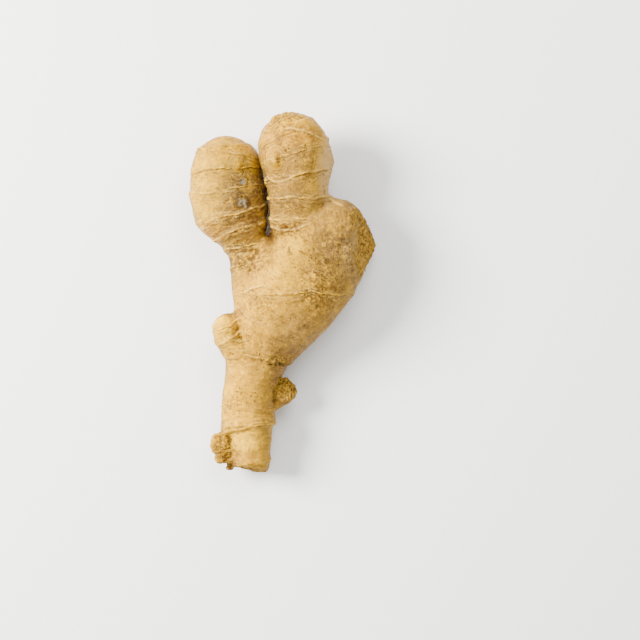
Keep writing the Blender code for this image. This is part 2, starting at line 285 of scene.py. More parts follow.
# Single lines on the upper side: (points, how pale the edge is, how dark the line below it is)
LINES = (
    (((-6.4, 52.4), (-4.9, 50.8), (-2.7, 49.8), (-0.1, 49.7), (3.0, 51.0), (8.7, 53.6)), 1.0, 0.7),
    (((2.0, 73.0), (6.5, 73.0), (11.5, 71.6), (16.0, 69.7), (18.9, 68.0)), 1.0, 0.5),
    (((16.2, 53.9), (19.3, 54.6), (22.0, 55.7)), 0.0, 1.0),
    (((18.9, 48.0), (19.1, 44.9)), 0.0, 1.0),
    (((-16.1, 1.3), (-12.5, 3.1), (-8.5, 4.0), (-4.1, 2.6)), 0.9, 0.9),
    (((0.4, 21.1), (2.6, 19.7), (4.8, 17.5)), 0.0, 0.8),
    (((8.3, 18.9), (12.3, 16.7), (16.2, 13.6)), 0.0, 0.6),
    (((-19.2, -5.8), (-16.6, -8.9), (-13.9, -11.1), (-8.6, -12.9)), 0.5, 0.6),
    (((-20.6, -8.9), (-19.8, -12.9), (-18.9, -16.9)), 0.0, 0.8),
    (((-25.2, -17.8), (-22.1, -20.0), (-18.5, -20.9), (-14.0, -19.5)), 0.7, 0.8),
    (((-23.8, -23.1), (-19.4, -25.3), (-14.0, -24.4)), 0.5, 0.6),
    (((21.5, 42.6), (23.8, 40.8), (27.3, 39.5)), 1.0, 0.6),
    (((22.0, 44.7), (25.1, 44.0), (28.2, 42.3), (31.3, 39.6)), 0.0, 0.9),
    (((-27.0, -28.0), (-23.0, -28.7), (-18.6, -28.0)), 0.3, 0.8),
    (((-24.1, -64.0), (-23.2, -68.4), (-22.8, -73.4)), 0.0, 0.8),
    (((-4.5, 30.8), (-1.4, 29.1), (2.1, 28.4), (7.4, 29.1), (11.8, 31.3)), 1.0, 1.0),
    (((8.3, 9.3), (12.7, 11.0), (18.0, 9.3), (22.4, 5.7)), 0.3, 0.6),
)
LINE_HEIGHTS = (9.0, 13.0)  # the lines come in between these heights
LINE_RIDGE = (0.18, 0.45)  # (height, width)
LINE_GROOVE = (0.2, 0.4, 0.6)  # (depth, width, how far below the ridge)
LINE_PAINT = (0.32, 0.45)  # width of the pale edge and of the dark line

# Old root scars: (x, y, half width, greyness)
ROOT_SCARS = (
    (27.9, 23.1, 1.6, 0.1),
    (-17.2, 49.5, 1.6, 1.0),
    (-17.2, 40.2, 2.2, 1.0),
    (3.4, 17.5, 0.7, 0.2),
    (19.7, 14.5, 0.8, 0.5),
    (-1.0, 67.5, 1.3, 0.0),
    (10.5, -14.5, 0.9, 0.1),
    (30.0, 50.0, 0.8, 0.0),
)

# Tints of the upper side, some of them painted shade: (what it is, x, y, reach in x, reach in y,
# colour, weight)
TINTS = (
    ("smooth middle of the body", 2.0, 14.0, 9.0, 16.0, "#ecca80", 1.0),
    ("left edge of the body", -10.0, 4.0, 9.0, 12.0, "#e6bd6c", 0.9),
    # Painted shade in the hollow of the left finger's neck.
    ("painted shade at the root of the left finger", -15.0, 16.0, 8.0, 7.0, "#a87c40", 1.8),
    ("painted shade left of the left finger's neck", -20.0, 17.5, 4.5, 6.5, "#7a5826", 4.0),
    ("crease from the crotch", -5.0, 21.0, 2.2, 7.0, "#8f6229", 1.6),
    ("body by the shoulder", 22.0, 19.0, 7.0, 9.0, "#a07a42", 1.4),
    ("shaded shoulder", 29.0, 13.0, 8.0, 10.0, "#ad8850", 1.2),
    ("netted right of the body", 15.0, -4.0, 10.0, 12.0, "#b88c4e", 1.0),
    ("lower right of the body", 8.0, -18.0, 9.0, 10.0, "#b78d54", 1.0),
    ("shade over the root ring", 2.0, -28.0, 9.0, 7.0, "#a0753e", 1.0),
    ("root of the side bud", -13.0, -20.0, 6.0, 8.0, "#dcb066", 0.9),
    ("below the side bud", -20.0, -24.0, 5.0, 5.0, "#ecc67c", 0.9),
    ("cream cap of the side bud", -25.5, -12.5, 5.0, 5.0, "#ffec90", 2.4),
    ("brown top edge of the side bud", -25.0, -8.8, 4.5, 1.2, "#7f5422", 5.0),
    ("crease beside the side bud", -20.0, -12.0, 1.8, 5.0, "#cf8f3a", 1.6),
    ("left of the narrow end", -20.0, -43.0, 6.0, 9.0, "#efca80", 1.0),
    ("right of the narrow end", -8.0, -46.0, 5.0, 8.0, "#c79c58", 1.0),
    ("swelling of the narrow end", -22.0, -56.0, 8.0, 6.0, "#f0cb84", 1.0),
    ("smooth pale tip", -18.0, -66.0, 6.0, 4.0, "#fdeaa6", 2.0),
    ("brown end of the tip", -17.0, -74.0, 7.0, 3.5, "#d9ac68", 1.0),
    ("husk", -28.0, -69.0, 4.0, 7.0, "#cfa468", 2.0),
    ("dark knob", -24.0, -78.5, 3.0, 2.4, "#8a5a30", 4.0),
    ("cut top of the stub", 2.0, -42.0, 5.0, 5.0, "#a4704a", 2.0),
    # Painted shade: the left finger's right side turns away from the light into the gap.
    ("painted shade on the right side of the left finger", -17.0, 44.0, 7.0, 10.0, "#7c5d38", 2.0),
    ("pale left side of the left finger", -36.0, 46.0, 7.0, 16.0, "#e0be7e", 1.0),
    ("yellow band of the left finger", -23.5, 65.0, 12.0, 3.6, "#d6aa2a", 3.0),
    ("tip of the left finger", -27.0, 72.5, 9.0, 2.2, "#cf9f52", 1.2),
    ("golden band of the left finger", -15.8, 56.8, 7.5, 3.0, "#c29c14", 3.6),
    ("under the left finger's rings", -16.0, 33.0, 9.0, 6.0, "#a97e48", 1.2),
    ("pink lip of the left finger", -32.5, 27.0, 4.0, 3.5, "#c79470", 1.6),
    ("warty top of the long finger", 2.0, 77.0, 9.0, 5.0, "#dcb238", 2.4),
    ("long finger below its top", 6.0, 70.0, 10.0, 4.0, "#d29a48", 1.0),
    ("middle of the long finger", 6.0, 56.0, 10.0, 8.0, "#a87c40", 1.2),
    ("round the long finger's bud", -3.3, 59.8, 5.0, 6.0, "#d6a244", 1.4),
    ("right side of the long finger", 18.5, 53.0, 5.0, 12.0, "#dcb878", 1.6),
    # Painted shade on the narrow neck of the long finger.
    ("painted shade on the neck of the long finger", 5.0, 38.0, 9.0, 5.5, "#8a632f", 1.8),
    # Painted shade at the foot of the gap between the fingers.
    ("painted shade at the foot of the gap", -5.2, 25.4, 2.2, 2.8, "#6c4420", 3.0),
    # Painted shade where the left finger's side falls into the narrow gap.
    ("painted shade at the side of the gap", -8.0, 48.0, 1.8, 9.0, "#6e5438", 2.5),
    ("right of the neck", 18.0, 42.0, 5.0, 6.0, "#b08a54", 1.0),
    ("brown zone at the long finger's root", 2.0, 29.0, 8.0, 3.0, "#a67638", 1.4),
    ("top of the shoulder", 24.0, 33.0, 9.0, 5.0, "#b98f52", 1.2),
    ("broken face", 37.0, 24.0, 5.0, 15.0, "#bf9758", 1.2),
)
COMMON_TINT = "#c49c58"
COMMON_WEIGHT = 0.25
TINT_DEPTH = (5.0, 12.0)  # below these heights the tints give way to the common one
# Painted shade: steep sides that face left and far, towards the key light, are painted darker so that
# they don't wash out in it: (steepness from, to, how much)
KEY_SIDE_SHADE = (0.45, 0.85, 0.5)

# The studio light is bright, so a colour as it looks in that light is taken down to the paint that
# gives it. Red falls by a power, green by red's fall, less of it where red is bright, and blue is
# held back where red is bright.
RED = (0.74, 1.53)  # (gain, power)
GREEN = (1.18, 0.53)  # (gain, how much of it a full red takes away)
BLUE = (1.5, 0.42, 5.0, 0.04)  # (gain, the red that halves it, how sharply, least share)

# Swellings that close the gap between the fingers: (x, y, z, reach, height)
SWELLINGS = (
    (-6.0, 40.0, 17.0, 5.0, 0.6),
    (-5.5, 34.0, 17.0, 4.5, 0.7),
    (-6.5, 27.5, 17.0, 4.5, 1.2),
    (-5.8, 24.0, 18.0, 3.0, 1.6),
    (40.5, 24.5, 14.0, 5.0, 0.5),
)
# Painted shade at the foot of the gap between the fingers.
PAINTED_FOOT_SHADE = (-5.5, 25.4, 22.0, 4.0)  # the dark foot of that gap: x, y, z, reach

# Torn papery edges stand along the leaf scars, and dry root fibres in places: (x, y, reach in x,
# reach in y, how many, length)
EDGE_SEED = 5
EDGE_STEP = 0.7
FIBRE_SEED = 11
FIBRE_WIDTHS = (0.16, 0.15, 0.13, 0.10, 0.04)
FIBRES = (
    (-3.0, -30.6, 7.0, 2.6, 26, 2.6),
    (2.6, -41.5, 5.0, 4.0, 16, 1.8),
    (37.0, 24.0, 5.5, 14.0, 36, 2.0),
    (-27.5, -68.5, 5.5, 6.0, 22, 1.8),
    (-24.0, -78.0, 3.0, 3.0, 12, 1.6),
    (3.0, 28.0, 8.0, 3.0, 16, 1.6),
    (13.5, -1.0, 9.0, 8.0, 14, 1.4),
    (-14.0, 15.0, 8.0, 6.0, 12, 1.4),
    (2.0, 77.5, 8.0, 3.5, 14, 1.3),
)

SKIN_VOXEL = 0.47
SKIN_SMOOTHING = 14
LUMP, GRIT = 1.5, 0.8  # sizes of the lumps and the grit in scars and broken faces
RAGGED = (1.6, 0.8, 0.9, 0.1, 1.6)  # raggedness of edges: size, middle, range, least, most
CREASE_LIE = (0.45, 1.15, 0.8)  # torn skin creases along the hand
BREAK_BAND = (-1.7, -0.1)  # depth over which a broken face begins
BREAK_RIM = (1.9, 0.8)  # the dark line round it: (depth, width)
WART = (1.3, 0.75)  # (size, height)
FLAKES = (
    (0.6, (0.55, 1.0, 0.55), 3.0, 1.9),  # share, lie along the grain, offset, size
    (0.4, (0.6, 1.0, 0.6), 8.0, 1.0),
)
FLAKE_HEIGHT = (0.07, 0.12)  # all over, and more in the net
WRINKLE = ((0.22, 1.0, 0.22), 0.75, 0.10)  # fine rings: (lie, size, height)
SIDE_NOISE = ((5.0, 0.12), (2.2, 0.12), (1.1, 0.06))  # fine lumps: (size, height)
HOLLOW_ROUNDS = 10
HOLLOW_DEPTH = 0.25  # a hollow or ridge this deep counts in full

# The marks that the skin keeps at each point for its material.
MARKS = (
    "hollow",
    "lip",
    "crease",
    "bud",
    "scar",
    "grey",
    "broken",
    "warts",
    "specks",
    "net",
    "shade_grey",
    "dark",
    "flake",
)
# Noise in the skin: name, what it lies along, lump size along its three ways, detail, roughness.
# The real streaks and rings are finer, about 0.2 mm, and are drawn as coarse as a render shows.
SKIN_NOISES = (
    ("blotches", "place", (6.0, 6.0, 6.0), 4.0, 0.55),
    ("mottle", "place", (1.5, 1.5, 1.5), 4.0, 0.7),
    ("grime", "place", (2.4, 2.4, 2.4), 5.0, 0.75),
    ("gaps", "place", (4.5, 4.5, 4.5), 2.0, 0.55),
    ("fibres", "place", (0.8, 1.6, 0.8), 4.0, 0.75),
    ("streaks", "grain", (0.55, 5.0, 0.55), 2.0, 0.55),
    ("rings", "bent", (4.5, 0.9, 4.5), 3.0, 0.65),
    ("waves", "bent", (10.0, 2.4, 10.0), 2.0, 0.5),
)
# Specks: what they lie along, cell size, share of the cells in the speck patches and elsewhere
SPECKS = (("place", 1.0, 0.35, 0.05), ("bent", 1.9, 0.22, 0.0))

WAVE_GAP = 0.055  # step of the slow noise from one wavy line to the next
WAVE_SHADE = 0.018  # how far its dark side lies behind it
NET_CELLS = (0.34, 0.75, 0.34)  # cells of the net to a millimetre: across, along, through

HALF_FLOOR = 1.6
# Lamps: name, place and disc width in metres, watts, colour
LAMPS = (
    ("key_light", (-0.75, 0.22, 0.58), 0.50, 50.0, (1.0, 0.98, 0.94)),
    ("fill_light", (0.20, 0.60, 0.85), 0.60, 9.0, (1.0, 0.995, 0.98)),
)
ROOM_LIGHT = 1.05
CAMERA_SPOT = (17.1, -11.96, 1000.0)
VIEW_WIDTH = 288.0
VIEW_PLANE = 16.0
SENSOR = 36.0


def linear(code):
    """A colour written as sRGB hex, in the linear values that Blender works in."""
    parts = [int(code[i : i + 2], 16) / 255 for i in (1, 3, 5)]
    return [p / 12.92 if p <= 0.04045 else ((p + 0.055) / 1.055) ** 2.4 for p in parts] + [1.0]


def paint(code):
    """The paint that looks like an sRGB hex colour in this light."""
    red, green, blue, _ = linear(code)
    fall = RED[0] * red ** (RED[1] - 1)
    blue_share = max(BLUE[3], BLUE[0] / (1 + (red / BLUE[1]) ** BLUE[2]))
    return [fall * red, fall * green * (GREEN[0] - GREEN[1] * red), fall * blue * blue_share, 1.0]


def smooth_path(stations):
    """Points every PATH_STEP or so along a smooth curve through the stations, with half widths."""
    knots = np.array(stations, float)
    ends = np.vstack([2 * knots[0] - knots[1], knots, 2 * knots[-1] - knots[-2]])
    path = []
    for before, start, stop, after in zip(ends, ends[1:], ends[2:], ends[3:]):
        count = max(2, int(np.linalg.norm(stop[:3] - start[:3]) / PATH_STEP))
        for t in np.arange(count) / count:
            line = (stop - before) * t
            square = (2 * before - 5 * start + 4 * stop - after) * t**2
            cube = (3 * start - before - 3 * stop + after) * t**3
            path.append(start + 0.5 * (line + square + cube))
    path.append(knots[-1])
    return np.array(path)


def measure_lobe(points, lobe):
    """Each point's height over the lobe's skin, distance back from its tip, and grain coordinates."""
    path = smooth_path(lobe.stations)
    squash = np.array([1.0, 1.0, 1.0 / lobe.flatness])
    places = points * squash
    middle = path[:, :3] * squash
    lengths = np.linalg.norm(np.diff(middle, axis=0), axis=1)
    behind_tip = lengths.sum() + path[-1, 3] - np.concatenate([[0.0], np.cumsum(lengths)])
    nearest = np.full(len(points), np.inf)
    width = np.zeros(len(points))
    back = np.zeros(len(points))
    grain = np.zeros((len(points), 3))
    for i, length in enumerate(lengths):
        run = (middle[i + 1] - middle[i]) / length
        offset = places - middle[i]
        along = offset @ run
        held = np.clip(along, 0.0, length)
        square = (offset**2).sum(1) - along**2 + (along - held) ** 2
        closer = square < nearest
        nearest = np.where(closer, square, nearest)
        share = held / length
        width = np.where(closer, path[i, 3] * (1 - share) + path[i + 1, 3] * share, width)
        back = np.where(closer, behind_tip[i] - along, back)
        side = np.array([run[1], -run[0], 0.0]) / np.linalg.norm(run[:2])
        local = np.stack([offset @ side, back, offset @ np.cross(side, run)], axis=1)
        grain = np.where(closer[:, None], local, grain)
    return np.sqrt(np.maximum(nearest, 0.0)) - width, back, grain


def uneven(points, size):
    """Smooth unevenness from about -1 to 1, with lumps of a size."""
    return np.array([noise.noise(Vector(point) / size) for point in points])


def bell(distance, width):
    return np.exp(-((distance / width) ** 2))


def rise(values, low, high):
    """A smooth step from 0 at low to 1 at high."""
    t = np.clip((values - low) / (high - low), 0, 1)
    return t * t * (3 - 2 * t)


def line_distance(places, course):
    """How far places in plan lie from a line through some points."""
    distance = np.full(len(places), np.inf)
    for start, stop in zip(np.array(course), np.array(course)[1:]):
        run = stop - start
        share = np.clip((places - start) @ run / (run @ run), 0, 1)
        offset = places - start - share[:, None] * run
        distance = np.minimum(distance, np.linalg.norm(offset, axis=1))
    return distance


def patch(points, spots):
    """How much each point lies in the patches, on the upper side."""
    amount = np.zeros(len(points))
    for x, y, reach_x, reach_y, strength in spots:
        square = ((points[:, 0] - x) / reach_x) ** 2 + ((points[:, 1] - y) / reach_y) ** 2
        amount = np.maximum(amount, strength * np.exp(-(square**2)))
    return amount * rise(points[:, 2], 4.0, 9.0)


def fine_skin():
    """A copy of the CAD body's form in small even faces."""
    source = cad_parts["rhizome"].data
    skin = bpy.data.objects.new("rhizome_skin", source.copy())
    bpy.context.scene.collection.objects.link(skin)
    skin.data.materials.clear()
    faces = skin.modifiers.new("small_faces", "REMESH")
    faces.mode = "VOXEL"
    faces.voxel_size = SKIN_VOXEL * MM
    rounding = skin.modifiers.new("rounding", "SMOOTH")
    rounding.factor = 0.5
    rounding.iterations = SKIN_SMOOTHING
    graph = bpy.context.evaluated_depsgraph_get()
    skin.data = bpy.data.meshes.new_from_object(skin.evaluated_get(graph))
    skin.modifiers.clear()
    skin.data.name = "rhizome_skin"
    return skin


def get_vectors(mesh, name):
    values = np.empty(len(mesh.vertices) * 3)
    mesh.vertices.foreach_get(name, values)
    return values.reshape(-1, 3)


def store(mesh, name, values, kind="FLOAT"):
    """Keeps a value for each vertex, for the material to read."""
    attribute = mesh.attributes.new(name, kind, "POINT")
    key = {"FLOAT": "value", "FLOAT_VECTOR": "vector", "FLOAT_COLOR": "color"}[kind]
    attribute.data.foreach_set(key, np.asarray(values, np.float32).ravel())


def hollowness(mesh, points, normals, rounds):
    """Over 0 in hollows and below 0 on ridges, averaged over a few rounds."""
    edges = np.empty(len(mesh.edges) * 2, int)
    mesh.edges.foreach_get("vertices", edges)
    edges = edges.reshape(-1, 2)
    both = np.concatenate([edges, edges[:, ::-1]])
    count = np.bincount(both[:, 0], minlength=len(points))

    def average(values):
        return np.bincount(both[:, 0], weights=values[both[:, 1]], minlength=len(points)) / count

    spread = points.copy()
    for _ in range(rounds):
        spread = np.stack([average(spread[:, axis]) for axis in range(3)], axis=1)
    depth = ((spread - points) * normals).sum(1)
    return average(average(depth))


def strengthen(marks, name, values):
    marks[name] = np.maximum(marks[name], values)


def wavy_strands(points):
    """The strands of a leaf scar: how far each one lies from its course, and how strong it is."""
    size, low, high, least = STRAND_GAPS
    strands = []
    for i, (offset, strength, waviness) in enumerate(STRANDS):
        waves = offset + waviness * uneven(points + 31.0 * i, STRAND_WAVE)
        shown = rise(uneven(points + 17.0 * (i + 1), size), low, high)
        strands.append((waves, strength * (least + (1 - least) * shown)))
    return strands


def leaf_scars(points, measured, wander, strands, ragged, marks):
    """Relief of the leaf scars, and for each one what its torn papery edge needs."""
    names = list(LOBES)
    heights = np.array([measured[name][0] for name in names])
    relief = np.zeros(len(points))
    edges = []
    for ring in RINGS:
        height, back, grain = measured[ring.lobe]
        others = np.delete(heights, names.index(ring.lobe), axis=0).min(0)
        own = np.clip(1 + (others - height) / RING_FADE, 0, 1)
        path = smooth_path(LOBES[ring.lobe].stations)
        tip = path[-1, :3]
        heading = tip - path[len(path) // 2, :3]
        across = np.array([heading[1], -heading[0], 0.0]) / np.linalg.norm(heading[:2])
        slant = ring.tilt * ((points - tip) @ across) + ring.lean * (points[:, 2] - tip[2])
        course = back - ring.back + slant + wander
        edges.append((ring, own, course, grain, heading))
        for waves, shown in strands:
            place = course - waves
            strength = own * shown
            step = rise(-place, *EDGE_END) * np.exp(np.minimum(place, 0) / EDGE_LENGTH)
            groove = EDGE_GROOVE[2] * bell(place - EDGE_GROOVE[0], EDGE_GROOVE[1])
            relief += strength * ring.height * (step * (0.6 + 0.4 * ragged) - groove)
            pale = ring.pale * ragged * bell(place - EDGE_PALE[0], EDGE_PALE[1])
            strengthen(marks, "lip", strength * pale)
            # The dark line below the lip: dark cork, and in part the lip's painted shadow.
            dark = ring.dark * bell(place - EDGE_DARK[0], EDGE_DARK[1])
            strengthen(marks, "crease", strength * dark)
    return relief, edges


def single_lines(points, wander, strands, ragged, marks):
    """Relief of the single lines, which wander like the leaf scars."""
    shaky = points[:, :2] + 0.45 * np.stack([wander, strands[1][0]], axis=1)
    upper = rise(points[:, 2], *LINE_HEIGHTS)
    depth, width, drop = LINE_GROOVE
    relief = np.zeros(len(points))
    for course, pale, dark in LINES:
        edge = line_distance(shaky, course)
        below = line_distance(shaky + (0.0, drop), course) if pale else edge
        relief += upper * LINE_RIDGE[0] * pale * bell(edge, LINE_RIDGE[1])
        relief -= upper * depth * dark * bell(below, width)
        strengthen(marks, "lip", upper * pale * ragged * bell(edge, LINE_PAINT[0]))
        strengthen(marks, "crease", upper * dark * ragged * bell(below, LINE_PAINT[1]))
    return relief


def buds(points, ragged, marks):
    """Relief of the buds: low swellings with ragged scale edges round them."""
    unevenness = BUD_UNEVEN[1] * uneven(points, BUD_UNEVEN[0])
    offset, width = SCALE_GROOVE
    relief = np.zeros(len(points))
    for x, y, z, half_width, swelling, yellow in BUDS:
        nearest = points[np.argmin(((points - (x, y, z)) ** 2).sum(1))]
        reach = np.linalg.norm((points - nearest) * BUD_LIE, axis=1) + unevenness
        relief += swelling * bell(reach, 0.6 * half_width)
        for share in SCALE_RIMS:
            beyond = reach - share * half_width
            rim = bell(beyond, SCALE_RIM[0])
            relief += SCALE_RIM[1] * rim * ragged
            strengthen(marks, "lip", 0.3 * rim * ragged)
            strengthen(marks, "crease", 0.55 * ragged * bell(beyond - offset, width))
        strengthen(marks, "bud", yellow * rise(-reach, -1.2 * half_width, -0.8 * half_width))
    return relief


def root_scars(points, lumps, grit, marks):
    """Relief of the old root scars: a low rim round a shallow hollow."""
    above = rise(points[:, 2], 6.0, 10.0)
    relief = np.zeros(len(points))
    for x, y, half_width, greyness in ROOT_SCARS:
        reach = np.hypot(points[:, 0] - x, points[:, 1] - y)
        reach += half_width * (0.5 * lumps + 0.4 * grit)
        spot = above * rise(-reach, -1.1 * half_width, -0.4 * half_width)
        strengthen(marks, "scar", spot)
        strengthen(marks, "grey", greyness * spot)
        outside = bell(reach - 1.25 * half_width, 0.3 * half_width)
        strengthen(marks, "crease", 0.8 * above * outside)
        hollow = 0.2 * bell(reach, 0.6 * half_width)
        relief += above * (0.15 * bell(reach - half_width, 0.35) - hollow)
    return relief


def broken_faces(points, lumps, grit, marks):
    """Relief of the broken faces, which end in a dark broken line."""
    for point, facing, reach in BREAKS:
        offset = points - np.array(point)
        near = rise(-np.linalg.norm(offset, axis=1), -reach, 2.0 - reach)
        off_face = offset @ np.array(facing) / np.linalg.norm(facing) + 0.8 * lumps
        strengthen(marks, "broken", near * rise(off_face, *BREAK_BAND))
        rim = bell(off_face + BREAK_RIM[0], BREAK_RIM[1]) * rise(lumps, -0.3, 0.3)
        strengthen(marks, "crease", 0.8 * near * rim)
    return marks["broken"] * (0.5 * lumps + 0.3 * grit)


def torn_and_warty_skin(points, grit, marks):
    """Relief of the torn skin, the warts and the fine lumps that lie all over."""
    ragged_skin = patch(points, PATCHES["ragged"])
    creases = 0.35 - np.abs(uneven(points * CREASE_LIE + 5.0, 1.3)) - 0.6 * np.abs(grit)
    warts = patch(points, PATCHES["warts"])
    marks["warts"] = np.maximum(warts, ragged_skin)
    relief = ragged_skin * (1.5 * creases + 0.5 * uneven(points, 2.6))
    relief += warts * WART[1] * np.maximum(uneven(points, WART[0]), -0.2)
    return relief + sum(height * uneven(points + 77.0, size) for size, height in SIDE_NOISE)


def flaky_skin(points, grain, marks):
    """Relief of the thin flakes and fine rings that lie along the grain."""
    marks["flake"] = sum(
        share * (1 - 2.2 * np.abs(uneven(grain * lie + offset, size)))
        for share, lie, offset, size in FLAKES
    )
    lie, size, height = WRINKLE
    wrinkle = uneven(grain * lie, size) * rise(uneven(points, 8.0), -0.3, 0.4)
    everywhere, in_net = FLAKE_HEIGHT
    return (everywhere + in_net * marks["net"]) * marks["flake"] + height * wrinkle


def gap_swellings(points, marks):
    """Relief that narrows the gap between the fingers, and the painted shade at its foot."""
    relief = np.zeros(len(points))
    for x, y, z, reach, height in SWELLINGS:
        away = np.linalg.norm((points - (x, y, z)) * (1.0, 1.0, 0.5), axis=1)
        relief += height * bell(away, reach)
    foot = np.linalg.norm((points - PAINTED_FOOT_SHADE[:3]) * (1.0, 1.0, 0.35), axis=1)
    strengthen(marks, "crease", bell(foot, PAINTED_FOOT_SHADE[3]))
    return relief


def grow_skin():
    """The fine skin with its relief and its marks, and what stands on it."""
    skin = fine_skin()
    mesh = skin.data
    points = get_vectors(mesh, "co") / MM
    normals = get_vectors(mesh, "normal")
    measured = {name: measure_lobe(points, lobe) for name, lobe in LOBES.items()}
    owner = np.array([measured[name][0] for name in LOBES]).argmin(0)
    grain = np.stack([measured[name][2] for name in LOBES])[owner, np.arange(len(points))]

    size, middle, spread, least, most = RAGGED
    ragged = np.clip(middle + spread * uneven(points + 21.0, size), least, most)
    wander = sum(amount * uneven(points, size) for size, amount in (*RING_WANDER, FINE_WANDER))
    lumps = uneven(points, LUMP)
    grit = uneven(points, GRIT)
    strands = wavy_strands(points)

    marks = {name: np.zeros(len(points)) for name in MARKS}
    for name in ("specks", "net", "shade_grey"):
        marks[name] = patch(points, PATCHES[name])
    patchy = np.clip(1 + 0.8 * lumps + 0.6 * grit, 0, 1)
    marks["dark"] = patch(points, PATCHES["dark"]) * patchy
    relief, edges = leaf_scars(points, measured, wander, strands, ragged, marks)
    relief += single_lines(points, wander, strands, ragged, marks)
    relief += buds(points, ragged, marks)
    relief += root_scars(points, lumps, grit, marks)
    relief += broken_faces(points, lumps, grit, marks)
    relief += torn_and_warty_skin(points, grit, marks)
    relief += flaky_skin(points, grain, marks)
    relief += gap_swellings(points, marks)

    shaped = points + normals * relief[:, None]
    shaped[:, 2] = np.maximum(shaped[:, 2], 0.0)
    mesh.vertices.foreach_set("co", (shaped * MM).ravel())
    mesh.update()

    normals = get_vectors(mesh, "normal")
    depth = hollowness(mesh, shaped, normals, HOLLOW_ROUNDS)
    marks["hollow"] = np.clip(depth / HOLLOW_DEPTH, -1, 1)
    for name in ("lip", "crease"):
        marks[name] = np.clip(marks[name], 0, 1)
    for name, values in marks.items():
        store(mesh, name, values)
    store(mesh, "grain", grain, "FLOAT_VECTOR")
    store(mesh, "tint", tint(points, normals), "FLOAT_COLOR")
    mesh.shade_smooth()
    return skin, paper_edges(shaped, normals, edges), root_fibres(shaped, normals)


def new_piece(name, points, faces, material):
    mesh = bpy.data.meshes.new(name)
    mesh.from_pydata([tuple(point) for point in np.array(points) * MM], [], faces)
    mesh.materials.append(material)
    mesh.shade_smooth()
    piece = bpy.data.objects.new(name, mesh)
    bpy.context.scene.collection.objects.link(piece)
    return piece


def add_edge(points, faces, run, heading, dice):
    """One torn papery edge: a thin closed wedge that leans over the skin from a run of spots."""
    first = len(points)
    height = dice.uniform(0.25, 0.6)
    for i, (spot, normal) in enumerate(run):
        height = min(max(height + dice.uniform(-0.16, 0.16), 0.15), 0.75)
        end = min(i, len(run) - 1 - i) / 2
        tall = height * min(1.0, 0.2 + end)
        down = -heading + normal * (heading @ normal)
        down /= np.linalg.norm(down)
        foot = spot - 0.25 * normal
        points.append(foot - 0.22 * down)
        points.append(foot + 0.12 * down)
        points.append(spot + tall * (0.75 * normal + 0.55 * down))
    for i in range(len(run) - 1):
        a = first + 3 * i
        for side in range(3):
            after = (side + 1) % 3
            faces.append((a + side, a + after, a + after + 3, a + side + 3))
    last = first + 3 * (len(run) - 1)
    faces.append((first + 2, first + 1, first))
    faces.append((last, last + 1, last + 2))


def paper_edges(places, normals, edges):
    """Torn papery scale edges that stand along the leaf scars, with gaps."""
    dice = random.Random(EDGE_SEED)
    points = []
    faces = []
    for ring, own, ring_place, grain, heading in edges:
        chosen = np.flatnonzero((np.abs(ring_place) < 0.35) & (own > 0.6) & (places[:, 2] > 3.0))
        if len(chosen) == 0:
            continue
        angles = np.arctan2(grain[chosen, 2], grain[chosen, 0])
        girth = 2 * math.pi * np.hypot(grain[chosen, 0], grain[chosen, 2]).mean()
        count = int(girth / EDGE_STEP)
        sectors = np.floor((angles / (2 * math.pi) + 0.5) * count).astype(int) % count
        left = dice.randint(6, 20)
        run = []
        for sector in range(count + 1):
            inside = chosen[sectors == sector]
            left -= 1
            if len(inside) and left > 0:
                spot = places[inside].mean(0)
                normal = normals[inside].mean(0)
                run.append((spot, normal / np.linalg.norm(normal)))
                continue
            if len(run) > 3:
                add_edge(points, faces, run, heading / np.linalg.norm(heading), dice)
            run = []
            if left < -dice.randint(1, int(2 + 8 * (1 - ring.pale))):
                left = dice.randint(6, 22)
    # Thin dry scale leaf: matt, pale straw with tan patches.
    straw, tan = paint("#fbe6b4"), paint("#c69a56")
    paper = patchy_material("scale_edge_papery", 1.8, (0.38, 0.66), straw, tan, 0.7, 0.10)
    return new_piece("scale_edges", points, faces, paper)


def root_fibres(places, normals):
    """Short dry root fibres and skin shreds, each a bent, tapering closed tube."""
    dice = random.Random(FIBRE_SEED)
    points = []
    faces = []
    for x, y, reach_x, reach_y, count, length in FIBRES:
        square = ((places[:, 0] - x) / reach_x) ** 2 + ((places[:, 1] - y) / reach_y) ** 2
        near = np.flatnonzero((square < 1) & (places[:, 2] > 5.0))
        for _ in range(count):
            start = near[dice.randrange(len(near))]
            spot = places[start] - 0.3 * normals[start]
            lie = np.array([dice.uniform(-1, 1) for _ in range(3)])
            lie -= normals[start] * (lie @ normals[start])
            run = lie / np.linalg.norm(lie) + dice.uniform(0.3, 1.0) * normals[start]
            step = length * dice.uniform(0.5, 1.2) / (len(FIBRE_WIDTHS) - 1)
            first = len(points)
            for width in FIBRE_WIDTHS:
                run = run / np.linalg.norm(run)
                side = np.cross(run, normals[start] + 0.01)
                side /= np.linalg.norm(side)
                other = np.cross(run, side)
                for turn in range(3):
                    angle = 2 * math.pi * turn / 3
                    points.append(spot + width * (math.cos(angle) * side + math.sin(angle) * other))
                spot = spot + step * run
                bend = np.array([dice.uniform(-0.5, 0.5) for _ in range(3)])
                run = run + bend - 0.22 * normals[start]
            for ring in range(len(FIBRE_WIDTHS) - 1):
                a = first + 3 * ring
                for turn in range(3):
                    after = (turn + 1) % 3
                    faces.append((a + turn, a + after, a + after + 3, a + turn + 3))
            last = first + 3 * (len(FIBRE_WIDTHS) - 1)
            faces.append((first + 2, first + 1, first))
            faces.append((last, last + 1, last + 2))
    # Dead rootlets: matt, tan to dark brown.
    tan, brown = paint("#b48a50"), paint("#6d4a22")
    dry = patchy_material("root_fibre_dry", 1.8, (0.38, 0.66), tan, brown, 0.7, 0.10)
    return new_piece("root_fibres", points, faces, dry)


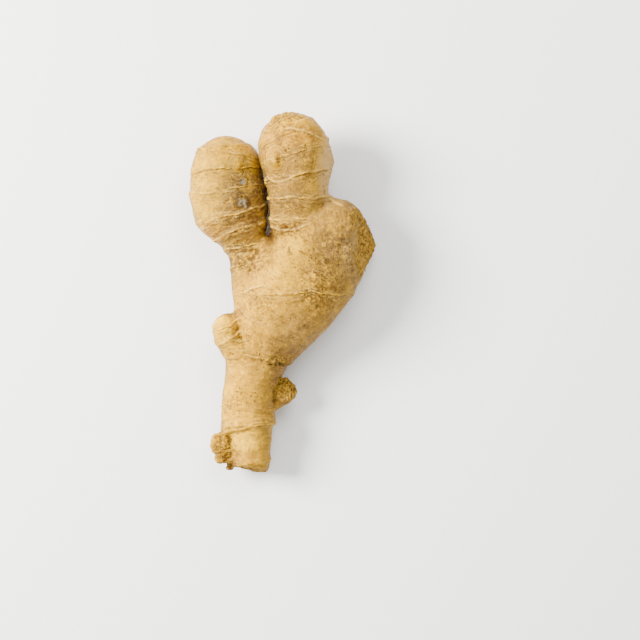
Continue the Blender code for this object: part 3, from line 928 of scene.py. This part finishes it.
def tint(points, normals):
    """The slow changes of the skin's colour, with painted shade in places, as linear colour with
    alpha.
    """
    total = np.full(len(points), COMMON_WEIGHT)
    colour = COMMON_WEIGHT * np.array(paint(COMMON_TINT))[None, :] * np.ones((len(points), 1))
    above = rise(points[:, 2], *TINT_DEPTH)
    for _, x, y, reach_x, reach_y, code, weight in TINTS:
        square = ((points[:, 0] - x) / reach_x) ** 2 + ((points[:, 1] - y) / reach_y) ** 2
        share = weight * above * np.exp(-square)
        total += share
        colour += share[:, None] * np.array(paint(code))
    # Painted shade on the steep sides that face the key light.
    facing_key = rise(0.45 * normals[:, 1] - 0.9 * normals[:, 0], 0.0, 0.6)
    painted_key_shade = facing_key * rise(1 - normals[:, 2], *KEY_SIDE_SHADE[:2])
    colour /= total[:, None]
    colour[:, :3] *= 1 - KEY_SIDE_SHADE[2] * painted_key_shade[:, None]
    return colour


def add(tree, kind, inputs=(), output=0, **settings):
    """Adds a shader node and gives one of its outputs. Inputs are values or other outputs."""
    node = tree.nodes.new("ShaderNode" + kind)
    for name, value in settings.items():
        setattr(node, name, value)
    if not isinstance(inputs, dict):
        inputs = dict(enumerate(inputs))
    for key, value in inputs.items():
        if isinstance(value, bpy.types.NodeSocket):
            tree.links.new(value, node.inputs[key])
        else:
            node.inputs[key].default_value = value
    return node.outputs[output]


def new_material(name):
    material = bpy.data.materials.new(name)
    material.use_nodes = True
    tree = material.node_tree
    return material, tree, tree.nodes["Principled BSDF"]


def skin_material():
    """Papery satin skin: tan, with thin wavy lines round the lobes, pale lips and dark dry specks."""
    material, tree, shader = new_material("ginger_skin_papery")
    mark = {name: add(tree, "Attribute", (), "Fac", attribute_name=name) for name in MARKS}
    spot = add(tree, "TexCoord", (), "Object")
    place = add(tree, "VectorMath", (spot, (1 / MM,) * 3), operation="MULTIPLY")
    grain = add(tree, "Attribute", (), "Vector", attribute_name="grain")
    bend = add(tree, "TexNoise", {"Vector": place, "Scale": 0.25, "Detail": 3.0, "Roughness": 0.55})
    sway = add(tree, "Math", (bend, 5.0), operation="MULTIPLY")
    bent = add(tree, "VectorMath", (grain, sway), operation="ADD")
    laid = {"place": place, "grain": grain, "bent": bent}
    lumps = {}
    for name, lie, size, detail, roughness in SKIN_NOISES:
        scaled = [1 / length for length in size]
        vector = add(tree, "VectorMath", (laid[lie], scaled), operation="MULTIPLY")
        inputs = {"Vector": vector, "Scale": 1.0, "Detail": detail, "Roughness": roughness}
        lumps[name] = add(tree, "TexNoise", inputs)
    blotches, mottle, grime = lumps["blotches"], lumps["mottle"], lumps["grime"]

    # The tint, shaded by mottling, fine rings round the lobe and streaks along it.
    shade = -0.65
    for part, weight in ((mottle, 1.5), (lumps["rings"], 1.3), (lumps["streaks"], 0.5)):
        shade = add(tree, "Math", (part, weight, shade), operation="MULTIPLY_ADD")
    tinted = {0: 1.0, 6: add(tree, "Attribute", (), "Color", attribute_name="tint"), 7: shade}
    colour = add(tree, "Mix", tinted, 2, data_type="RGBA", blend_type="MULTIPLY")

    # Wavy lines are steps in slow noise, pale with a dark side. The net is the edges of cells.
    pale = add(tree, "Math", (lumps["waves"], WAVE_GAP), operation="PINGPONG")
    lower = add(tree, "Math", (lumps["waves"], WAVE_SHADE), operation="ADD")
    dark = add(tree, "Math", (lower, WAVE_GAP), operation="PINGPONG")
    gaps = (lumps["gaps"], 0.42, 0.62, 0.0, 1.0)
    cells = add(tree, "VectorMath", (bent, NET_CELLS), operation="MULTIPLY")
    cracks = add(tree, "TexVoronoi", {"Vector": cells, "Scale": 1.0}, feature="DISTANCE_TO_EDGE")
    netted = add(tree, "Math", (mark["net"], 0.22), operation="ADD")
    flaky = add(tree, "Math", (mark["net"], 0.5, 0.25), operation="MULTIPLY_ADD")

    # Specks are uneven dots in cells: more where the speck patches are, and a few elsewhere.
    dots = []
    for lie, size, in_patches, elsewhere in SPECKS:
        cell = add(tree, "TexVoronoi", {"Vector": laid[lie], "Scale": 1 / size})
        rim = add(tree, "TexNoise", {"Vector": laid[lie], "Scale": 2.5 / size, "Roughness": 0.55})
        reach = add(tree, "Math", (rim, 0.5, cell), operation="MULTIPLY_ADD")
        dot = add(tree, "MapRange", (reach, 0.71, 0.47, 0.0, 1.0), interpolation_type="SMOOTHSTEP")
        drawn = add(tree, "SeparateColor", (cell.node.outputs["Color"],))
        chance = (mark["specks"], in_patches, elsewhere)
        wanted = add(tree, "Math", chance, operation="MULTIPLY_ADD")
        kept = add(tree, "Math", (drawn, wanted), operation="LESS_THAN")
        dots.append(add(tree, "Math", (dot, kept), operation="MULTIPLY"))
    speck = add(tree, "Math", dots, operation="MAXIMUM")

    # Paint laid over the tint in turn: what it is, its colour, and what its share is made of. A
    # share's parts are values, or a value and the band over which it rises.
    layers = (
        ("brown blotches", paint("#a87a3c"), (blotches, 0.5, 0.72, 0.0, 0.5)),
        ("pale blotches", paint("#f6dc96"), (blotches, 0.47, 0.25, 0.0, 0.4)),
        ("grime", paint("#7f5723"), (grime, 0.56, 0.72, 0.0, 0.7)),
        ("rubbed skin", paint("#fbe4a0"), (grime, 0.42, 0.28, 0.0, 0.5)),
        ("dark lines", paint("#85592a"), (dark, 0.014, 0.002, 0.0, 0.5), gaps),
        ("pale lines", paint("#fce6ae"), (pale, 0.016, 0.002, 0.0, 0.55), gaps),
        (
            "cracks",
            paint("#7d5222"),
            (cracks, 0.10, 0.0, 0.0, 0.8),
            (blotches, 0.32, 0.55, 0.0, 1.0),
            netted,
        ),
        ("brown flakes", paint("#86591f"), (mark["flake"], 0.35, -0.35, 0.0, 1.0), flaky),
        ("pale flakes", paint("#fbe4a4"), (mark["flake"], 0.55, 0.95, 0.0, 1.0), flaky),
        # Painted shade: the greyer colour of the shaded right-hand sides.
        ("dried skin", linear("#bd9c6c"), mark["shade_grey"]),
        ("yellow buds", paint("#c6980f"), mark["bud"], 0.9),
        ("warts", paint("#80541f"), mark["warts"], (mottle, 0.45, 0.62, 0.0, 0.7)),
        # Partly dark cork below the raised edges, partly their painted shadow, and painted shade at
        # the foot of the gap.
        ("creases", paint("#6f4519"), mark["crease"], (mottle, 0.3, 0.6, 0.4, 0.8)),
        ("scar lips", linear("#dfb85c"), mark["lip"], (mottle, 0.65, 0.35, 0.45, 0.9)),
        ("dirty hollows", paint("#6f4519"), (mark["hollow"], 0.1, 0.9, 0.0, 0.7)),
        # Painted highlight: ridges and rounded tops are painted paler.
        ("rubbed ridges", paint("#f9e3a8"), (mark["hollow"], -0.3, -0.9, 0.0, 0.2)),
        # Dark brown spots, and painted shade at the foot of the gap.
        ("dark skin", paint("#5a3517"), mark["dark"]),
        ("specks", paint("#6c4c24"), speck, 0.75),
        ("cork", paint("#664624"), mark["scar"], 0.8),
        ("pale cork", paint("#b08d5a"), mark["scar"], (mottle, 0.35, 0.65, 0.0, 0.85)),
        ("grey bloom", linear("#8f8c78"), mark["grey"], (mottle, 0.38, 0.54, 0.0, 0.6)),
        ("torn hollows", paint("#7d5830"), mark["broken"], 0.8),
        ("torn flesh", paint("#d6b07c"), mark["broken"], (lumps["fibres"], 0.38, 0.54, 0.0, 0.85)),
        ("pale fibres", linear("#c8a470"), mark["broken"], (lumps["fibres"], 0.56, 0.70, 0.0, 0.6)),
    )
    shares = {}
    for name, over, *parts in layers:
        share = 1.0
        for part in parts:
            if isinstance(part, tuple):
                part = add(tree, "MapRange", part, interpolation_type="SMOOTHSTEP")
            share = add(tree, "Math", (share, part), operation="MULTIPLY")
        shares[name] = share
        colour = add(tree, "Mix", {0: share, 6: colour, 7: over}, 2, data_type="RGBA")

    rough = add(tree, "MapRange", (mottle, 0.3, 0.7, 0.42, 0.58), interpolation_type="SMOOTHSTEP")
    for part, weight in ((mark["lip"], 0.15), (mark["broken"], 0.35)):
        rough = add(tree, "Math", (part, weight, rough), operation="MULTIPLY_ADD")
    height = 0.0
    for part, weight in (
        (lumps["streaks"], 0.06),
        (lumps["rings"], 0.16),
        (mottle, 0.12),
        (shares["pale lines"], 0.11),
        (shares["dark lines"], -0.12),
        (shares["cracks"], -0.15),
        (shares["specks"], 0.16),
        (shares["torn flesh"], 0.35),
    ):
        height = add(tree, "Math", (part, weight, height), operation="MULTIPLY_ADD")
    bump = add(tree, "Bump", {"Strength": 1.0, "Distance": MM, "Height": height})
    tree.links.new(colour, shader.inputs["Base Color"])
    tree.links.new(rough, shader.inputs["Roughness"])
    tree.links.new(bump, shader.inputs["Normal"])
    shader.inputs["Specular IOR Level"].default_value = 0.10
    shader.inputs["Specular Tint"].default_value = linear("#ffdc96")
    shader.inputs["Subsurface Weight"].default_value = 0.12
    shader.inputs["Subsurface Radius"].default_value = (1.0, 0.55, 0.22)
    shader.inputs["Subsurface Scale"].default_value = 1.2 * MM
    return material


def patchy_material(name, size, band, light, dark, roughness, gloss):
    """A matt surface that changes between two close colours in patches of a size."""
    material, tree, shader = new_material(name)
    spot = add(tree, "TexCoord", (), "Object")
    inputs = {"Vector": spot, "Scale": 1 / (size * MM), "Detail": 3.0, "Roughness": 0.55}
    patches = add(tree, "TexNoise", inputs)
    share = add(tree, "MapRange", (patches, *band), interpolation_type="SMOOTHSTEP")
    colour = add(tree, "Mix", {0: share, 6: light, 7: dark}, 2, data_type="RGBA")
    tree.links.new(colour, shader.inputs["Base Color"])
    shader.inputs["Roughness"].default_value = roughness
    shader.inputs["Specular IOR Level"].default_value = gloss
    return material


def build_stage():
    """A plain pale floor, soft light mainly from the upper left, and the camera straight above."""
    floor_mesh = bpy.data.meshes.new("floor")
    corners = [(HALF_FLOOR * x, HALF_FLOOR * y, 0) for x, y in ((-1, -1), (1, -1), (1, 1), (-1, 1))]
    floor_mesh.from_pydata(corners, [], [(0, 1, 2, 3)])
    # Matt white board with a trace of unevenness.
    white, shade = linear("#f4f5f5"), linear("#f2f3f3")
    board = patchy_material("floor_matt_white", 2.5, (0.3, 0.7), white, shade, 0.7, 0.5)
    floor_mesh.materials.append(board)
    floor = bpy.data.objects.new("floor", floor_mesh)
    bpy.context.scene.collection.objects.link(floor)

    for name, spot, size, power, colour in LAMPS:
        lamp = bpy.data.lights.new(name, "AREA")
        lamp.shape = "DISK"
        lamp.size = size
        lamp.energy = power
        lamp.color = colour
        holder = bpy.data.objects.new(name, lamp)
        holder.location = spot
        holder.rotation_euler = Vector(spot).to_track_quat("Z", "Y").to_euler()
        bpy.context.scene.collection.objects.link(holder)

    world = bpy.data.worlds.new("studio")
    world.use_nodes = True
    background = world.node_tree.nodes["Background"]
    background.inputs["Color"].default_value = (1.0, 1.0, 1.0, 1.0)
    background.inputs["Strength"].default_value = ROOM_LIGHT
    bpy.context.scene.world = world

    lens = bpy.data.cameras.new("camera")
    lens.sensor_width = SENSOR
    lens.lens = SENSOR * (CAMERA_SPOT[2] - VIEW_PLANE) / VIEW_WIDTH
    lens.clip_start = 0.01
    camera = bpy.data.objects.new("camera", lens)
    camera.location = Vector(CAMERA_SPOT) * MM
    bpy.context.scene.collection.objects.link(camera)
    bpy.context.scene.camera = camera


build_stage()
skin, scale_edges, fibres = grow_skin()
skin.data.materials.append(skin_material())
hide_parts("rhizome")
for piece in (skin, scale_edges, fibres):
    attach(piece, "root")


def corners(box):
    return [list(corner) for corner in box]
